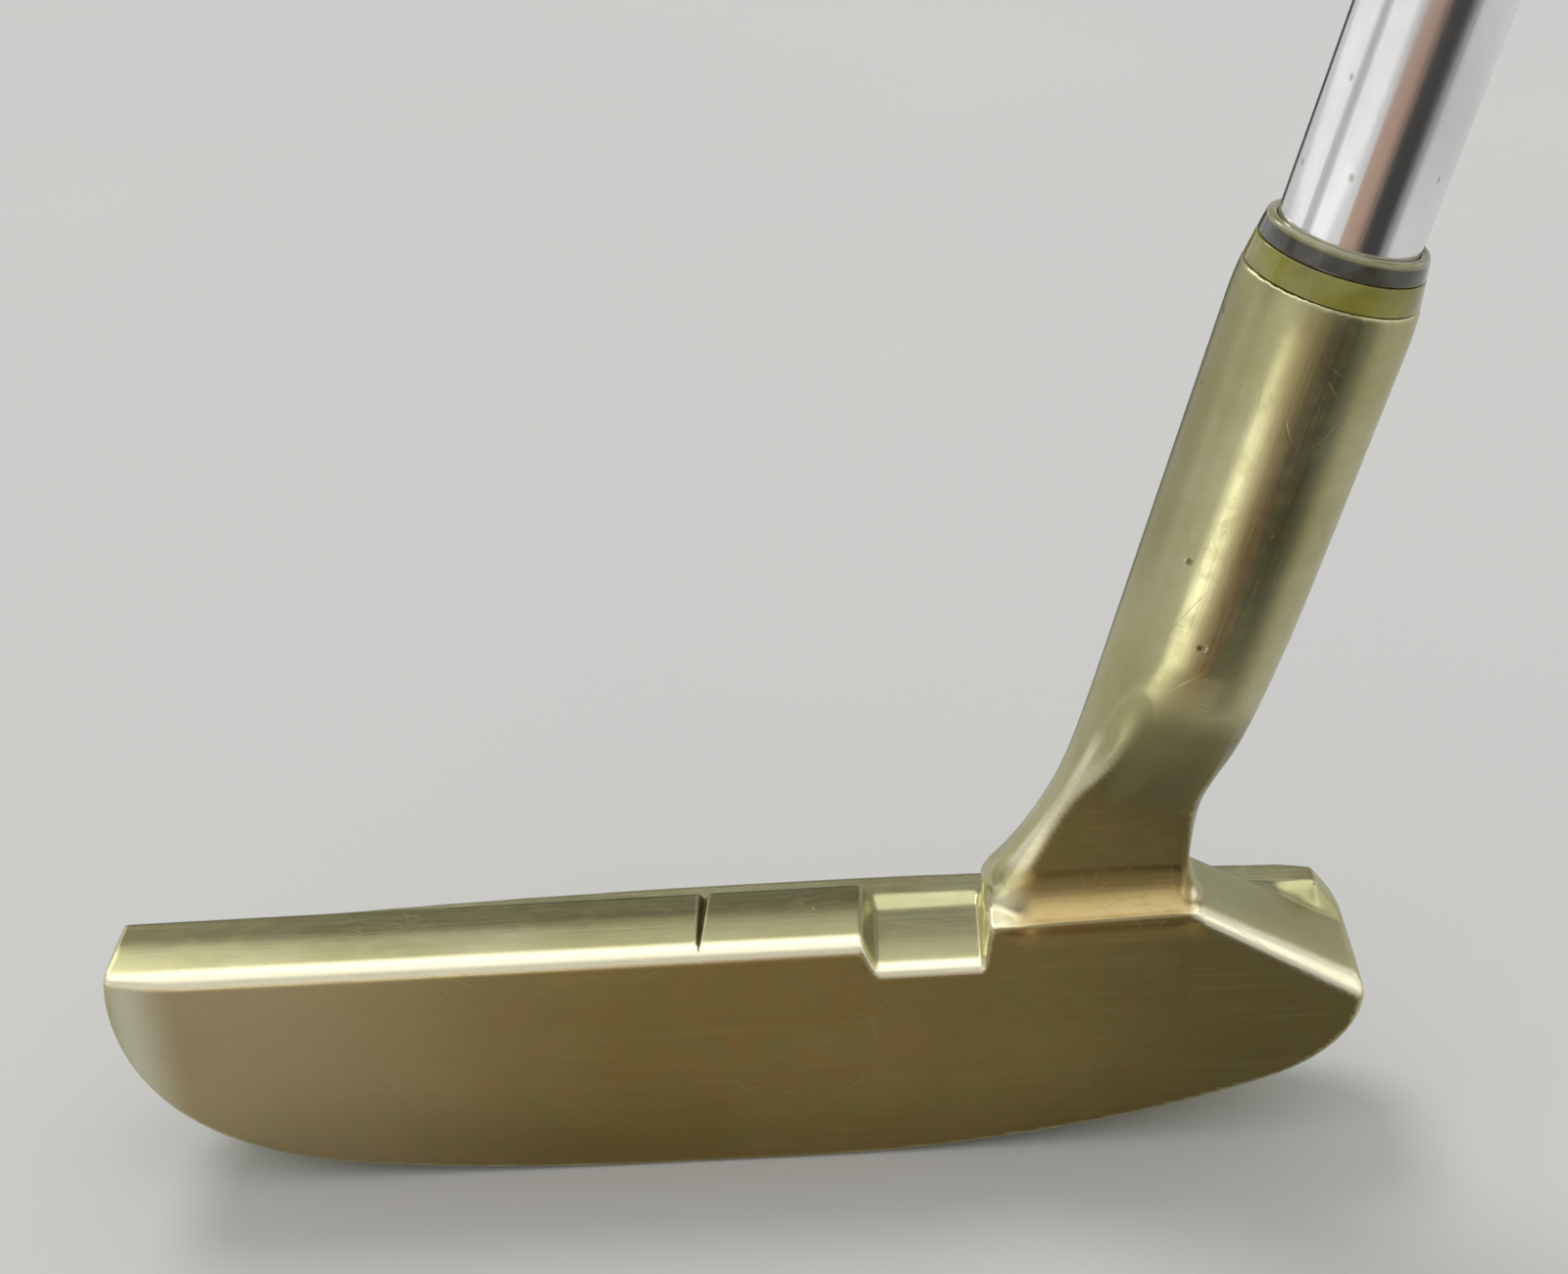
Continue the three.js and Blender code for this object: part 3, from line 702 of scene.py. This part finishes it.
# ------------------------------------------------------------------ material helpers
class Look:
    """A principled material built from small calls; sockets or plain values feed inputs."""

    def __init__(self, name, **fixed):
        self.material = bpy.data.materials.new(name)
        self.material.use_nodes = True
        self.tree = self.material.node_tree
        self.shader = self.tree.nodes["Principled BSDF"]
        for key, value in fixed.items():
            self.shader.inputs[key.replace("_", " ")].default_value = value
        self.place = self.node("ShaderNodeTexCoord").outputs["Object"]

    def node(self, kind, inputs=None, **settings):
        made = self.tree.nodes.new(kind)
        for key, value in settings.items():
            setattr(made, key, value)
        for key, value in (inputs or {}).items():
            self.feed(made.inputs[key], value)
        return made

    def feed(self, socket, value):
        if isinstance(value, bpy.types.NodeSocket):
            self.tree.links.new(value, socket)
        else:
            socket.default_value = value

    def stretched(self, scale, turn=(0, 0, 0)):
        """Coordinates in millimetres times scale, after a turn in degrees."""
        turned_place = self.node("ShaderNodeVectorRotate", {
            "Vector": self.place,
            "Rotation": [math.radians(a) for a in turn],
        }, rotation_type="EULER_XYZ").outputs[0]
        return self.node("ShaderNodeVectorMath", {
            0: turned_place, 1: [s / MM for s in scale],
        }, operation="MULTIPLY").outputs[0]

    def noise(self, place, detail=4, roughness=0.55, distortion=0):
        inputs = {"Vector": place, "Scale": 1, "Detail": detail, "Roughness": roughness}
        inputs["Distortion"] = distortion
        return self.node("ShaderNodeTexNoise", inputs).outputs["Fac"]

    def cells(self, place, feature="F1"):
        inputs = {"Vector": place, "Scale": 1}
        return self.node("ShaderNodeTexVoronoi", inputs, feature=feature).outputs["Distance"]

    def calc(self, operation, *values):
        inputs = dict(enumerate(values))
        return self.node("ShaderNodeMath", inputs, operation=operation).outputs[0]

    def span(self, value, low, high, start=0, end=1):
        """Eases from start to end while value goes from low to high."""
        inputs = {"Value": value, "From Min": low, "From Max": high, "To Min": start, "To Max": end}
        made = self.node("ShaderNodeMapRange", inputs, interpolation_type="SMOOTHSTEP")
        return made.outputs["Result"]

    def mix(self, share, first, second):
        made = self.node("ShaderNodeMix", data_type="RGBA")
        self.feed(made.inputs[0], share)
        for index, value in ((6, first), (7, second)):
            self.feed(made.inputs[index], value if isinstance(value, bpy.types.NodeSocket) else (*value, 1))
        return made.outputs[2]

    def attribute(self, name):
        return self.node("ShaderNodeAttribute", attribute_name=name).outputs["Fac"]

    def axis(self, index, place=None):
        return self.node("ShaderNodeSeparateXYZ", {0: place or self.place}).outputs[index]

    def bump(self, height, depth_mm, under=None):
        inputs = {"Height": height, "Distance": depth_mm * MM}
        if under:
            inputs["Normal"] = under
        return self.node("ShaderNodeBump", inputs).outputs[0]

    def set(self, **inputs):
        for key, value in inputs.items():
            self.feed(self.shader.inputs[key.replace("_", " ")], value)
        return self.material


# ------------------------------------------------------------------ materials
def brass_look():
    look = Look("old_brass", Metallic=1.0, Roughness=0.3)
    edge = look.attribute("edge")
    hollow = look.attribute("hollow")
    face = look.attribute("face")
    groove = look.attribute("groove")
    paler = look.attribute("paler")
    tarnish_and_painted_reflection = look.attribute("tarnish_and_painted_reflection")
    dull_and_painted_shade = look.attribute("dull_and_painted_shade")
    x = look.calc("DIVIDE", look.axis(0), MM)
    z = look.calc("DIVIDE", look.axis(2), MM)

    clouds = look.noise(look.stretched((0.06, 0.09, 0.09)), detail=5)
    mottle = look.noise(look.stretched((0.5, 0.7, 0.7)), detail=6, roughness=0.7)
    blotches = look.noise(look.stretched((0.3, 0.4, 0.4), turn=(0, 40, 0)), detail=7, roughness=0.8)
    along_blade = look.noise(look.stretched((0.05, 3.2, 3.2)), detail=5, roughness=0.65)
    up_hosel = look.stretched((3.5, 3.5, 0.1), turn=(0, -LEAN_DEGREES, 0))
    along_hosel = look.noise(up_hosel, detail=5, roughness=0.65)
    on_hosel = look.span(z, 34, 42)
    grain = look.node("ShaderNodeMix", {0: on_hosel, 2: along_blade, 3: along_hosel}).outputs[0]

    fresh = look.mix(look.span(clouds, 0.35, 0.65), (0.53, 0.515, 0.3), (0.45, 0.43, 0.22))
    fresh = look.mix(look.span(mottle, 0.4, 0.8, 0, 0.25), fresh, (0.36, 0.33, 0.14))
    # patina of the face and the front of the neck; the lines below paint light and shade into it by place
    patina_and_painted_light = look.mix(look.span(blotches, 0.36, 0.66), (0.28, 0.165, 0.05), (0.22, 0.18, 0.05))
    patina_and_painted_light = look.mix(look.span(clouds, 0.38, 0.68, 0, 0.35), patina_and_painted_light, (0.36, 0.27, 0.11))
    patina_and_painted_light = look.mix(look.span(mottle, 0.45, 0.75, 0, 0.25), patina_and_painted_light, (0.18, 0.13, 0.05))
    # painted shade: darker towards the top of the face
    patina_and_painted_light = look.mix(look.span(z, 5, 22, 0, 0.4), patina_and_painted_light, (0.17, 0.12, 0.038))
    # painted reflection: paler towards the toe, palest at its end
    patina_and_painted_light = look.mix(look.span(x, -8, -46, 0, 0.5), patina_and_painted_light, (0.5, 0.41, 0.26))
    patina_and_painted_light = look.mix(look.span(x, -48.5, -55.2, 0, 0.85), patina_and_painted_light, (0.74, 0.75, 0.6))
    # darker towards the heel
    patina_and_painted_light = look.mix(look.span(x, 8, 54, 0, 0.65), patina_and_painted_light, (0.095, 0.085, 0.027))
    color = look.mix(look.calc("MULTIPLY", face, 0.95), fresh, patina_and_painted_light)
    color = look.mix(look.span(grain, 0.4, 0.75, 0, 0.12), color, (0.4, 0.35, 0.17))
    # orange tint: painted reflection on the hosel's band and on the neck's fillet; tarnish under the bevel
    color = look.mix(look.calc("MULTIPLY", tarnish_and_painted_reflection, 0.6), color, (0.44, 0.28, 0.1))
    # dark olive: painted shade on the hosel's olive bands and on the upper scoop of the neck; the dull back
    # of the top line
    color = look.mix(look.calc("MULTIPLY", dull_and_painted_shade, 0.75), color, (0.2, 0.185, 0.085))
    # painted shade: darker in hollows, such as the line where the neck's fillet meets its flat
    color = look.mix(look.calc("MULTIPLY", look.span(hollow, 0.2, 0.8), 0.35), color, (0.3, 0.2, 0.08))
    # paler on convex edges: rubbed brass, and in part a painted highlight
    color = look.mix(look.span(edge, 0.3, 0.9, 0, 0.3), color, (0.74, 0.7, 0.42))
    # painted highlight on the bevel and on the neck's ridge, flat and corner; on the bevel also rubbed
    # brass
    color = look.mix(look.calc("MULTIPLY", paler, 0.95), color, (0.92, 0.87, 0.64))
    color = look.mix(look.calc("MULTIPLY", groove, 0.8), color, (0.13, 0.08, 0.03))

    pits = scattered_pits(look, on_hosel)
    color = look.mix(look.calc("MULTIPLY", pits, 0.8), color, (0.12, 0.09, 0.04))
    scratches = look.calc("MINIMUM", scratch_lines(look, 33, 0.9), scratch_lines(look, -58, 1.3))
    scratched = look.calc("MULTIPLY", look.calc("SUBTRACT", 1, scratches), 0.12)
    color = look.mix(scratched, color, (0.6, 0.52, 0.3))

    rough = look.span(grain, 0.25, 0.8, 0.27, 0.36)
    rough = look.calc("ADD", rough, look.calc("MULTIPLY", look.span(mottle, 0.4, 0.8), 0.08))
    rough = look.calc("ADD", rough, look.calc("MULTIPLY", groove, 0.3))
    rough = look.calc("ADD", rough, look.calc("MULTIPLY", paler, 0.06))

    normal = look.bump(grain, 0.004)
    normal = look.bump(mottle, 0.006, under=normal)
    normal = look.bump(scratches, 0.01, under=normal)
    normal = look.bump(look.noise(look.stretched((0.12, 0.16, 0.16)), detail=2), 0.03, under=normal)
    normal = look.bump(look.calc("MULTIPLY", pits, -1), 0.12, under=normal)
    return look.set(Base_Color=color, Roughness=rough, Normal=normal)


def scratch_lines(look, angle, density):
    """1 on the bare surface and 0 in a few long fine scratches that lean by angle."""
    warped = look.stretched((0.045 * density, 1, 0.33 * density), turn=(0, angle, 0))
    lines = look.cells(warped, feature="DISTANCE_TO_EDGE")
    gate = look.span(look.noise(look.stretched((0.11, 0.11, 0.11), turn=(0, angle, 20))), 0.56, 0.66)
    return look.calc("MAXIMUM", look.span(lines, 0.0, 0.01), look.calc("SUBTRACT", 1, gate))


def scattered_pits(look, share):
    spots = look.cells(look.stretched((0.16, 0.16, 0.16)))
    uneven = look.noise(look.stretched((1.6, 1.6, 1.6)), detail=2)
    size = look.calc("ADD", spots, look.calc("MULTIPLY", uneven, 0.06))
    return look.calc("MULTIPLY", look.span(size, 0.115, 0.07), share)


def chrome_look():
    look = Look("plated_steel", Metallic=1.0, Roughness=0.1)
    length = look.noise(look.stretched((4, 4, 0.03), turn=(0, -LEAN_DEGREES, 0)), detail=5)
    haze = look.noise(look.stretched((0.09, 0.09, 0.05)), detail=6, roughness=0.65)
    color = look.mix(look.span(haze, 0.35, 0.7), (0.9, 0.9, 0.91), (0.78, 0.77, 0.77))
    specks = look.span(look.cells(look.stretched((0.35, 0.35, 0.22))), 0.09, 0.05)
    color = look.mix(look.calc("MULTIPLY", specks, 0.5), color, (0.3, 0.24, 0.18))
    rough = look.span(haze, 0.3, 0.8, 0.12, 0.2)
    normal = look.bump(length, 0.006)
    return look.set(Base_Color=color, Roughness=rough, Normal=look.bump(haze, 0.02, under=normal))


def plastic_look(name, light, dark, roughness, fixed, scale=0.25):
    look = Look(name, Roughness=roughness, **fixed)
    clouds = look.noise(look.stretched((scale,) * 3), detail=5)
    swirls = look.noise(look.stretched((scale * 6, scale * 6, scale)), detail=3)
    color = look.mix(look.span(clouds, 0.35, 0.7), light, dark)
    rough = look.span(swirls, 0.3, 0.75, roughness, roughness + 0.12)
    return look.set(Base_Color=color, Roughness=rough, Normal=look.bump(swirls, 0.015))


def ferrule_top_look():
    """Black celluloid with a pale olive lip."""
    look = Look("black_celluloid", Roughness=0.2, IOR=1.52, Coat_Weight=0.6, Coat_Roughness=0.06)
    lip_place = on_shaft([(0, 0, 63.45)])[0]
    along = look.node("ShaderNodeVectorMath", {
        0: look.place, 1: (math.sin(LEAN), 0, math.cos(LEAN)),
    }, operation="DOT_PRODUCT").outputs["Value"]
    height = lip_place[0] * math.sin(LEAN) + lip_place[2] * math.cos(LEAN)
    clouds = look.noise(look.stretched((0.4, 0.4, 0.4)), detail=5)
    uneven = look.calc("ADD", along, look.calc("MULTIPLY", clouds, 0.2 * MM))
    black = look.mix(look.span(clouds, 0.35, 0.7), (0.07, 0.066, 0.045), (0.032, 0.03, 0.022))
    olive = look.mix(look.span(clouds, 0.35, 0.7), (0.3, 0.29, 0.15), (0.2, 0.19, 0.07))
    color = look.mix(look.span(uneven, height, height + 0.25 * MM), black, olive)
    rough = look.span(clouds, 0.3, 0.75, 0.12, 0.26)
    return look.set(Base_Color=color, Roughness=rough, Normal=look.bump(clouds, 0.02))


def rubber_look(name, tone):
    look = Look(name, Roughness=0.6, IOR=1.5)
    grit = look.noise(look.stretched((5, 5, 5)), detail=3)
    dust = look.noise(look.stretched((0.12, 0.12, 0.12)), detail=6, roughness=0.7)
    paler = tuple(0.5 * c + 0.08 for c in tone)
    color = look.mix(look.span(dust, 0.45, 0.75, 0, 0.7), tone, paler)
    rough = look.span(dust, 0.3, 0.8, 0.42, 0.72)
    return look.set(Base_Color=color, Roughness=rough, Normal=look.bump(grit, 0.03))


def leather_look():
    look = Look("wound_leather", Roughness=0.5, Sheen_Weight=0.12, Sheen_Roughness=0.4)
    strip = look.node("ShaderNodeUVMap", uv_map="strip").outputs[0]
    along = look.axis(0, strip)
    turn = look.axis(1, strip)
    across = look.calc("FRACT", turn)
    rows = look.calc("MULTIPLY", across, ROWS_OF_HOLES)
    dot_x = look.calc("SUBTRACT", look.calc("FRACT", along), 0.5)
    dot_y = look.calc("SUBTRACT", look.calc("FRACT", rows), 0.5)
    squares = [look.calc("MULTIPLY", side, side) for side in (dot_x, dot_y)]
    reach = look.calc("SQRT", look.calc("ADD", *squares))
    inner = look.calc("MULTIPLY", look.span(across, 0.17, 0.21), look.span(across, 0.83, 0.79))
    hole = look.calc("MULTIPLY", look.span(reach, 0.17, 0.12), inner)
    grain = look.cells(look.stretched((1.7, 1.7, 1.7)), feature="SMOOTH_F1")
    fine = look.noise(look.stretched((3, 3, 3)), detail=4)
    wear = look.noise(look.stretched((0.05, 0.05, 0.03)), detail=6, roughness=0.65)
    color = look.mix(look.span(wear, 0.4, 0.68), (0.055, 0.03, 0.018), (0.13, 0.075, 0.042))
    color = look.mix(look.span(grain, 0.1, 0.7, 0.35, 0), color, (0.02, 0.012, 0.008))
    seam = look.calc("MAXIMUM", look.span(across, 0.05, 0.0), look.span(across, 0.965, 1.0))
    color = look.mix(look.calc("MULTIPLY", seam, 0.7), color, (0.012, 0.008, 0.006))
    color = look.mix(hole, color, (0.006, 0.004, 0.003))
    rough = look.span(wear, 0.35, 0.7, 0.55, 0.36)
    normal = look.bump(grain, 0.12)
    normal = look.bump(fine, 0.05, under=normal)
    normal = look.bump(look.calc("SUBTRACT", 1, hole), 0.5, under=normal)
    return look.set(Base_Color=color, Roughness=rough, Normal=normal)


def wood_look(name, light, dark):
    look = Look(name, Roughness=0.7)
    rings = look.noise(look.stretched((1.1, 1.1, 0.08), turn=(0, -LEAN_DEGREES, 0)), detail=6, distortion=1)
    color = look.mix(look.span(rings, 0.35, 0.65), light, dark)
    return look.set(Base_Color=color, Normal=look.bump(rings, 0.1))


# ------------------------------------------------------------------ build
def build():
    brass = brass_look()
    chrome = chrome_look()
    amber = plastic_look("amber_celluloid", (0.36, 0.335, 0.05), (0.26, 0.245, 0.035), 0.12, {
        "Transmission_Weight": 0.25, "IOR": 1.5, "Coat_Weight": 0.5, "Coat_Roughness": 0.08,
    })
    black = ferrule_top_look()
    cap = plastic_look("cap_moulding", (0.02, 0.02, 0.02), (0.035, 0.033, 0.03), 0.32, {"IOR": 1.5})
    screw_brass = plastic_look("screw_metal", (0.74, 0.58, 0.28), (0.5, 0.37, 0.16), 0.25, {
        "Metallic": 1.0,
    }, scale=0.6)
    ferrules = fine_ferrules(amber, black)
    pieces = [
        (fine_head(brass), "putter_head", "head_brass"),
        (fine_shaft(chrome), "shaft", "shaft_chrome"),
        (ferrules[0], "ferrule_amber", "amber_plastic"),
        (ferrules[1], "ferrule_black", "black_plastic"),
        (fine_leather(leather_look()), "grip_leather", "leather"),
        (fine_collar(rubber_look("collar_moulding", (0.02, 0.02, 0.022))), "grip_collar", "collar_rubber"),
        (fine_cap(cap), "grip_cap", "cap_plastic"),
        (fine_screw(screw_brass), "cap_screw", "screw_brass"),
    ]
    for piece, node, slot in pieces:
        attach(piece, "root")
        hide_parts(node)
    adhesive = plastic_look("cured_adhesive", (0.75, 0.7, 0.48), (0.62, 0.55, 0.33), 0.4, {"IOR": 1.5})
    inner = {
        "shaft_bond": adhesive,
        "tip_plug": wood_look("cork", (0.6, 0.4, 0.22), (0.36, 0.22, 0.11)),
        "butt_plug": wood_look("plug_wood", (0.55, 0.38, 0.2), (0.4, 0.25, 0.12)),
        "grip_underlist": rubber_look("underlisting", (0.05, 0.045, 0.04)),
    }
    for node, material in inner.items():
        body = bpy.data.objects[node]
        body.data.materials.clear()
        body.data.materials.append(material)


# ------------------------------------------------------------------ stage
def floor():
    look = Look("pale_floor", Roughness=0.9, Specular_IOR_Level=0)
    clouds = look.noise(look.stretched((0.004, 0.004, 0.004)), detail=3)
    tone = look.mix(look.span(clouds, 0.3, 0.7), (0.61, 0.61, 0.605), (0.63, 0.63, 0.62))
    grit = look.noise(look.stretched((0.8, 0.8, 0.8)), detail=3)
    look.set(Base_Color=tone, Normal=look.bump(grit, 0.02))
    size = 30
    corners = [(-size, -size, 0), (size, -size, 0), (size, size, 0), (-size, size, 0)]
    plane = add_mesh("studio_floor", corners, [(0, 1, 2, 3)], look.material)


def softbox(name, place, aim, size, watts):
    light = bpy.data.lights.new(name, "AREA")
    light.shape = "RECTANGLE"
    light.size, light.size_y = size
    light.energy = watts
    lamp = bpy.data.objects.new(name, light)
    lamp.location = place
    lamp.rotation_euler = (Vector(aim) - Vector(place)).to_track_quat("-Z", "Y").to_euler()
    lamp.visible_camera = False
    bpy.context.scene.collection.objects.link(lamp)
    return lamp


def studio_world():
    """An even pale room; in reflections it is dimmer overhead, so that metal keeps its contrast."""
    world = bpy.data.worlds.new("studio")
    world.use_nodes = True
    tree = world.node_tree
    background = tree.nodes["Background"]
    background.inputs["Color"].default_value = (0.98, 0.98, 0.975, 1)

    def ranged(value, interpolation="LINEAR", **limits):
        node = tree.nodes.new("ShaderNodeMapRange")
        node.interpolation_type = interpolation
        for key, limit in {"Value": value, **limits}.items():
            socket = node.inputs[key.replace("_", " ")]
            if isinstance(limit, bpy.types.NodeSocket):
                tree.links.new(limit, socket)
            else:
                socket.default_value = limit
        return node.outputs["Result"]

    direction = tree.nodes.new("ShaderNodeTexCoord").outputs["Generated"]
    parts = tree.nodes.new("ShaderNodeSeparateXYZ")
    tree.links.new(direction, parts.inputs[0])
    rays = tree.nodes.new("ShaderNodeLightPath").outputs
    upward = {"From_Min": 0.08, "From_Max": 0.42}
    reflected = ranged(parts.outputs["Z"], "SMOOTHSTEP", **upward, To_Min=0.5, To_Max=0.16)
    lit = ranged(rays["Is Diffuse Ray"], To_Min=reflected, To_Max=0.74)
    strength = ranged(rays["Is Camera Ray"], To_Min=lit, To_Max=0.63)
    tree.links.new(strength, background.inputs["Strength"])
    bpy.context.scene.world = world


def sun():
    """Soft daylight from behind and above; it lights and shades, and isn't mirrored."""
    light = bpy.data.lights.new("daylight", "SUN")
    light.energy = 1.0
    light.angle = math.radians(24)
    light.color = (1, 0.985, 0.96)
    lamp = bpy.data.objects.new("daylight", light)
    lamp.rotation_euler = Vector((0.35, -0.62, -1)).to_track_quat("-Z", "Y").to_euler()
    lamp.visible_glossy = False
    bpy.context.scene.collection.objects.link(lamp)


def lights():
    """Soft boxes that the metal mirrors; the room and the sun do the rest of the lighting."""
    studio_world()
    sun()
    boxes = [
        softbox("overhead", (0.0, -0.1, 1.7), (0.0, -0.1, 0), (3.0, 3.6), 46),
        softbox("front", (0.0, -2.0, 1.0), (0.0, 0, 0), (3.4, 1.3), 4),
        softbox("key", (-1.0, 1.1, 1.2), (0.05, 0, 0.1), (0.5, 0.5), 6),
        softbox("left", (-1.3, -0.9, 0.5), (0.1, 0, 0.2), (1.2, 1.3), 2.2),
        softbox("left_back", (-1.6, 0.9, 0.6), (0.1, 0, 0.2), (2.0, 1.1), 3),
        softbox("right", (1.6, 0.2, 0.6), (0.05, 0, 0.1), (2.6, 0.9), 5),
        softbox("glint", (1.15, -0.65, 0.74), (0.05, 0, 0.02), (0.5, 0.5), 1.2),
        softbox("strip", (-0.1, -0.216, 0.004), (-0.1, -0.216, 1), (0.28, 0.085), 0.2),
    ]
    # the strip lies on the floor in front of the toe, faces up and is turned askew
    strip = boxes[-1]
    strip.rotation_euler = (math.pi, 0, math.radians(55))
    for box in boxes:
        box.visible_diffuse = False


def flag(name, start_angle, end_angle, brown_share):
    """A card on the floor that only reflections see, as photographers use it for metal.

    It is part of a ring around the hosel, between two angles in degrees from the front. It is
    brown for brown_share of its length, or not at all below 0, then black, and pale at its end.
    """
    middle = on_shaft([(0, 0, 0)])[0]
    turns = np.linspace(0, 1, 25)
    angles = np.radians(lerp(start_angle, end_angle, turns))
    height = 0.001
    rows = [
        [(middle[0] + reach * math.sin(a), middle[1] - reach * math.cos(a), height) for a in angles]
        for reach in (0.075, 2.4)
    ]
    count = len(turns)
    faces = [(i, i + 1, count + i + 1, count + i) for i in range(count - 1)]
    look = Look(name, Roughness=0.9)
    turn = look.attribute("turn")
    weave = look.noise(look.stretched((0.5, 0.5, 0.5)))
    brown = look.mix(weave, (0.34, 0.21, 0.14), (0.42, 0.26, 0.18))
    dark_share = look.span(turn, brown_share - 0.13, brown_share + 0.13)
    tone = look.mix(dark_share, brown, (0.012, 0.012, 0.01))
    look.set(Base_Color=look.mix(look.span(turn, 0.72, 0.98), tone, (0.36, 0.36, 0.36)))
    card = add_mesh(name, rows[0] + rows[1], faces, look.material,
                    attributes={"turn": np.tile(turns, 2)})
    for ray in ("camera", "diffuse", "transmission", "volume_scatter", "shadow"):
        setattr(card, f"visible_{ray}", False)


def camera():
    lens = bpy.data.cameras.new("photo_view")
    lens.lens = 56.25
    lens.sensor_width = 36
    lens.clip_start = 0.01
    lens.clip_end = 20
    view = bpy.data.objects.new("photo_view", lens)
    view.location = (0.0192, -0.18222, 0.15053)
    view.rotation_euler = [math.radians(a) for a in (61.24, 4.42, 1.01)]
    bpy.context.scene.collection.objects.link(view)
    bpy.context.scene.camera = view


bpy.context.scene.view_settings.view_transform = "Standard"
camera()
lights()
floor()
flag("front_flag", -28, 54, brown_share=0.35)
flag("back_flag", 196, 152, brown_share=-0.2)
build()
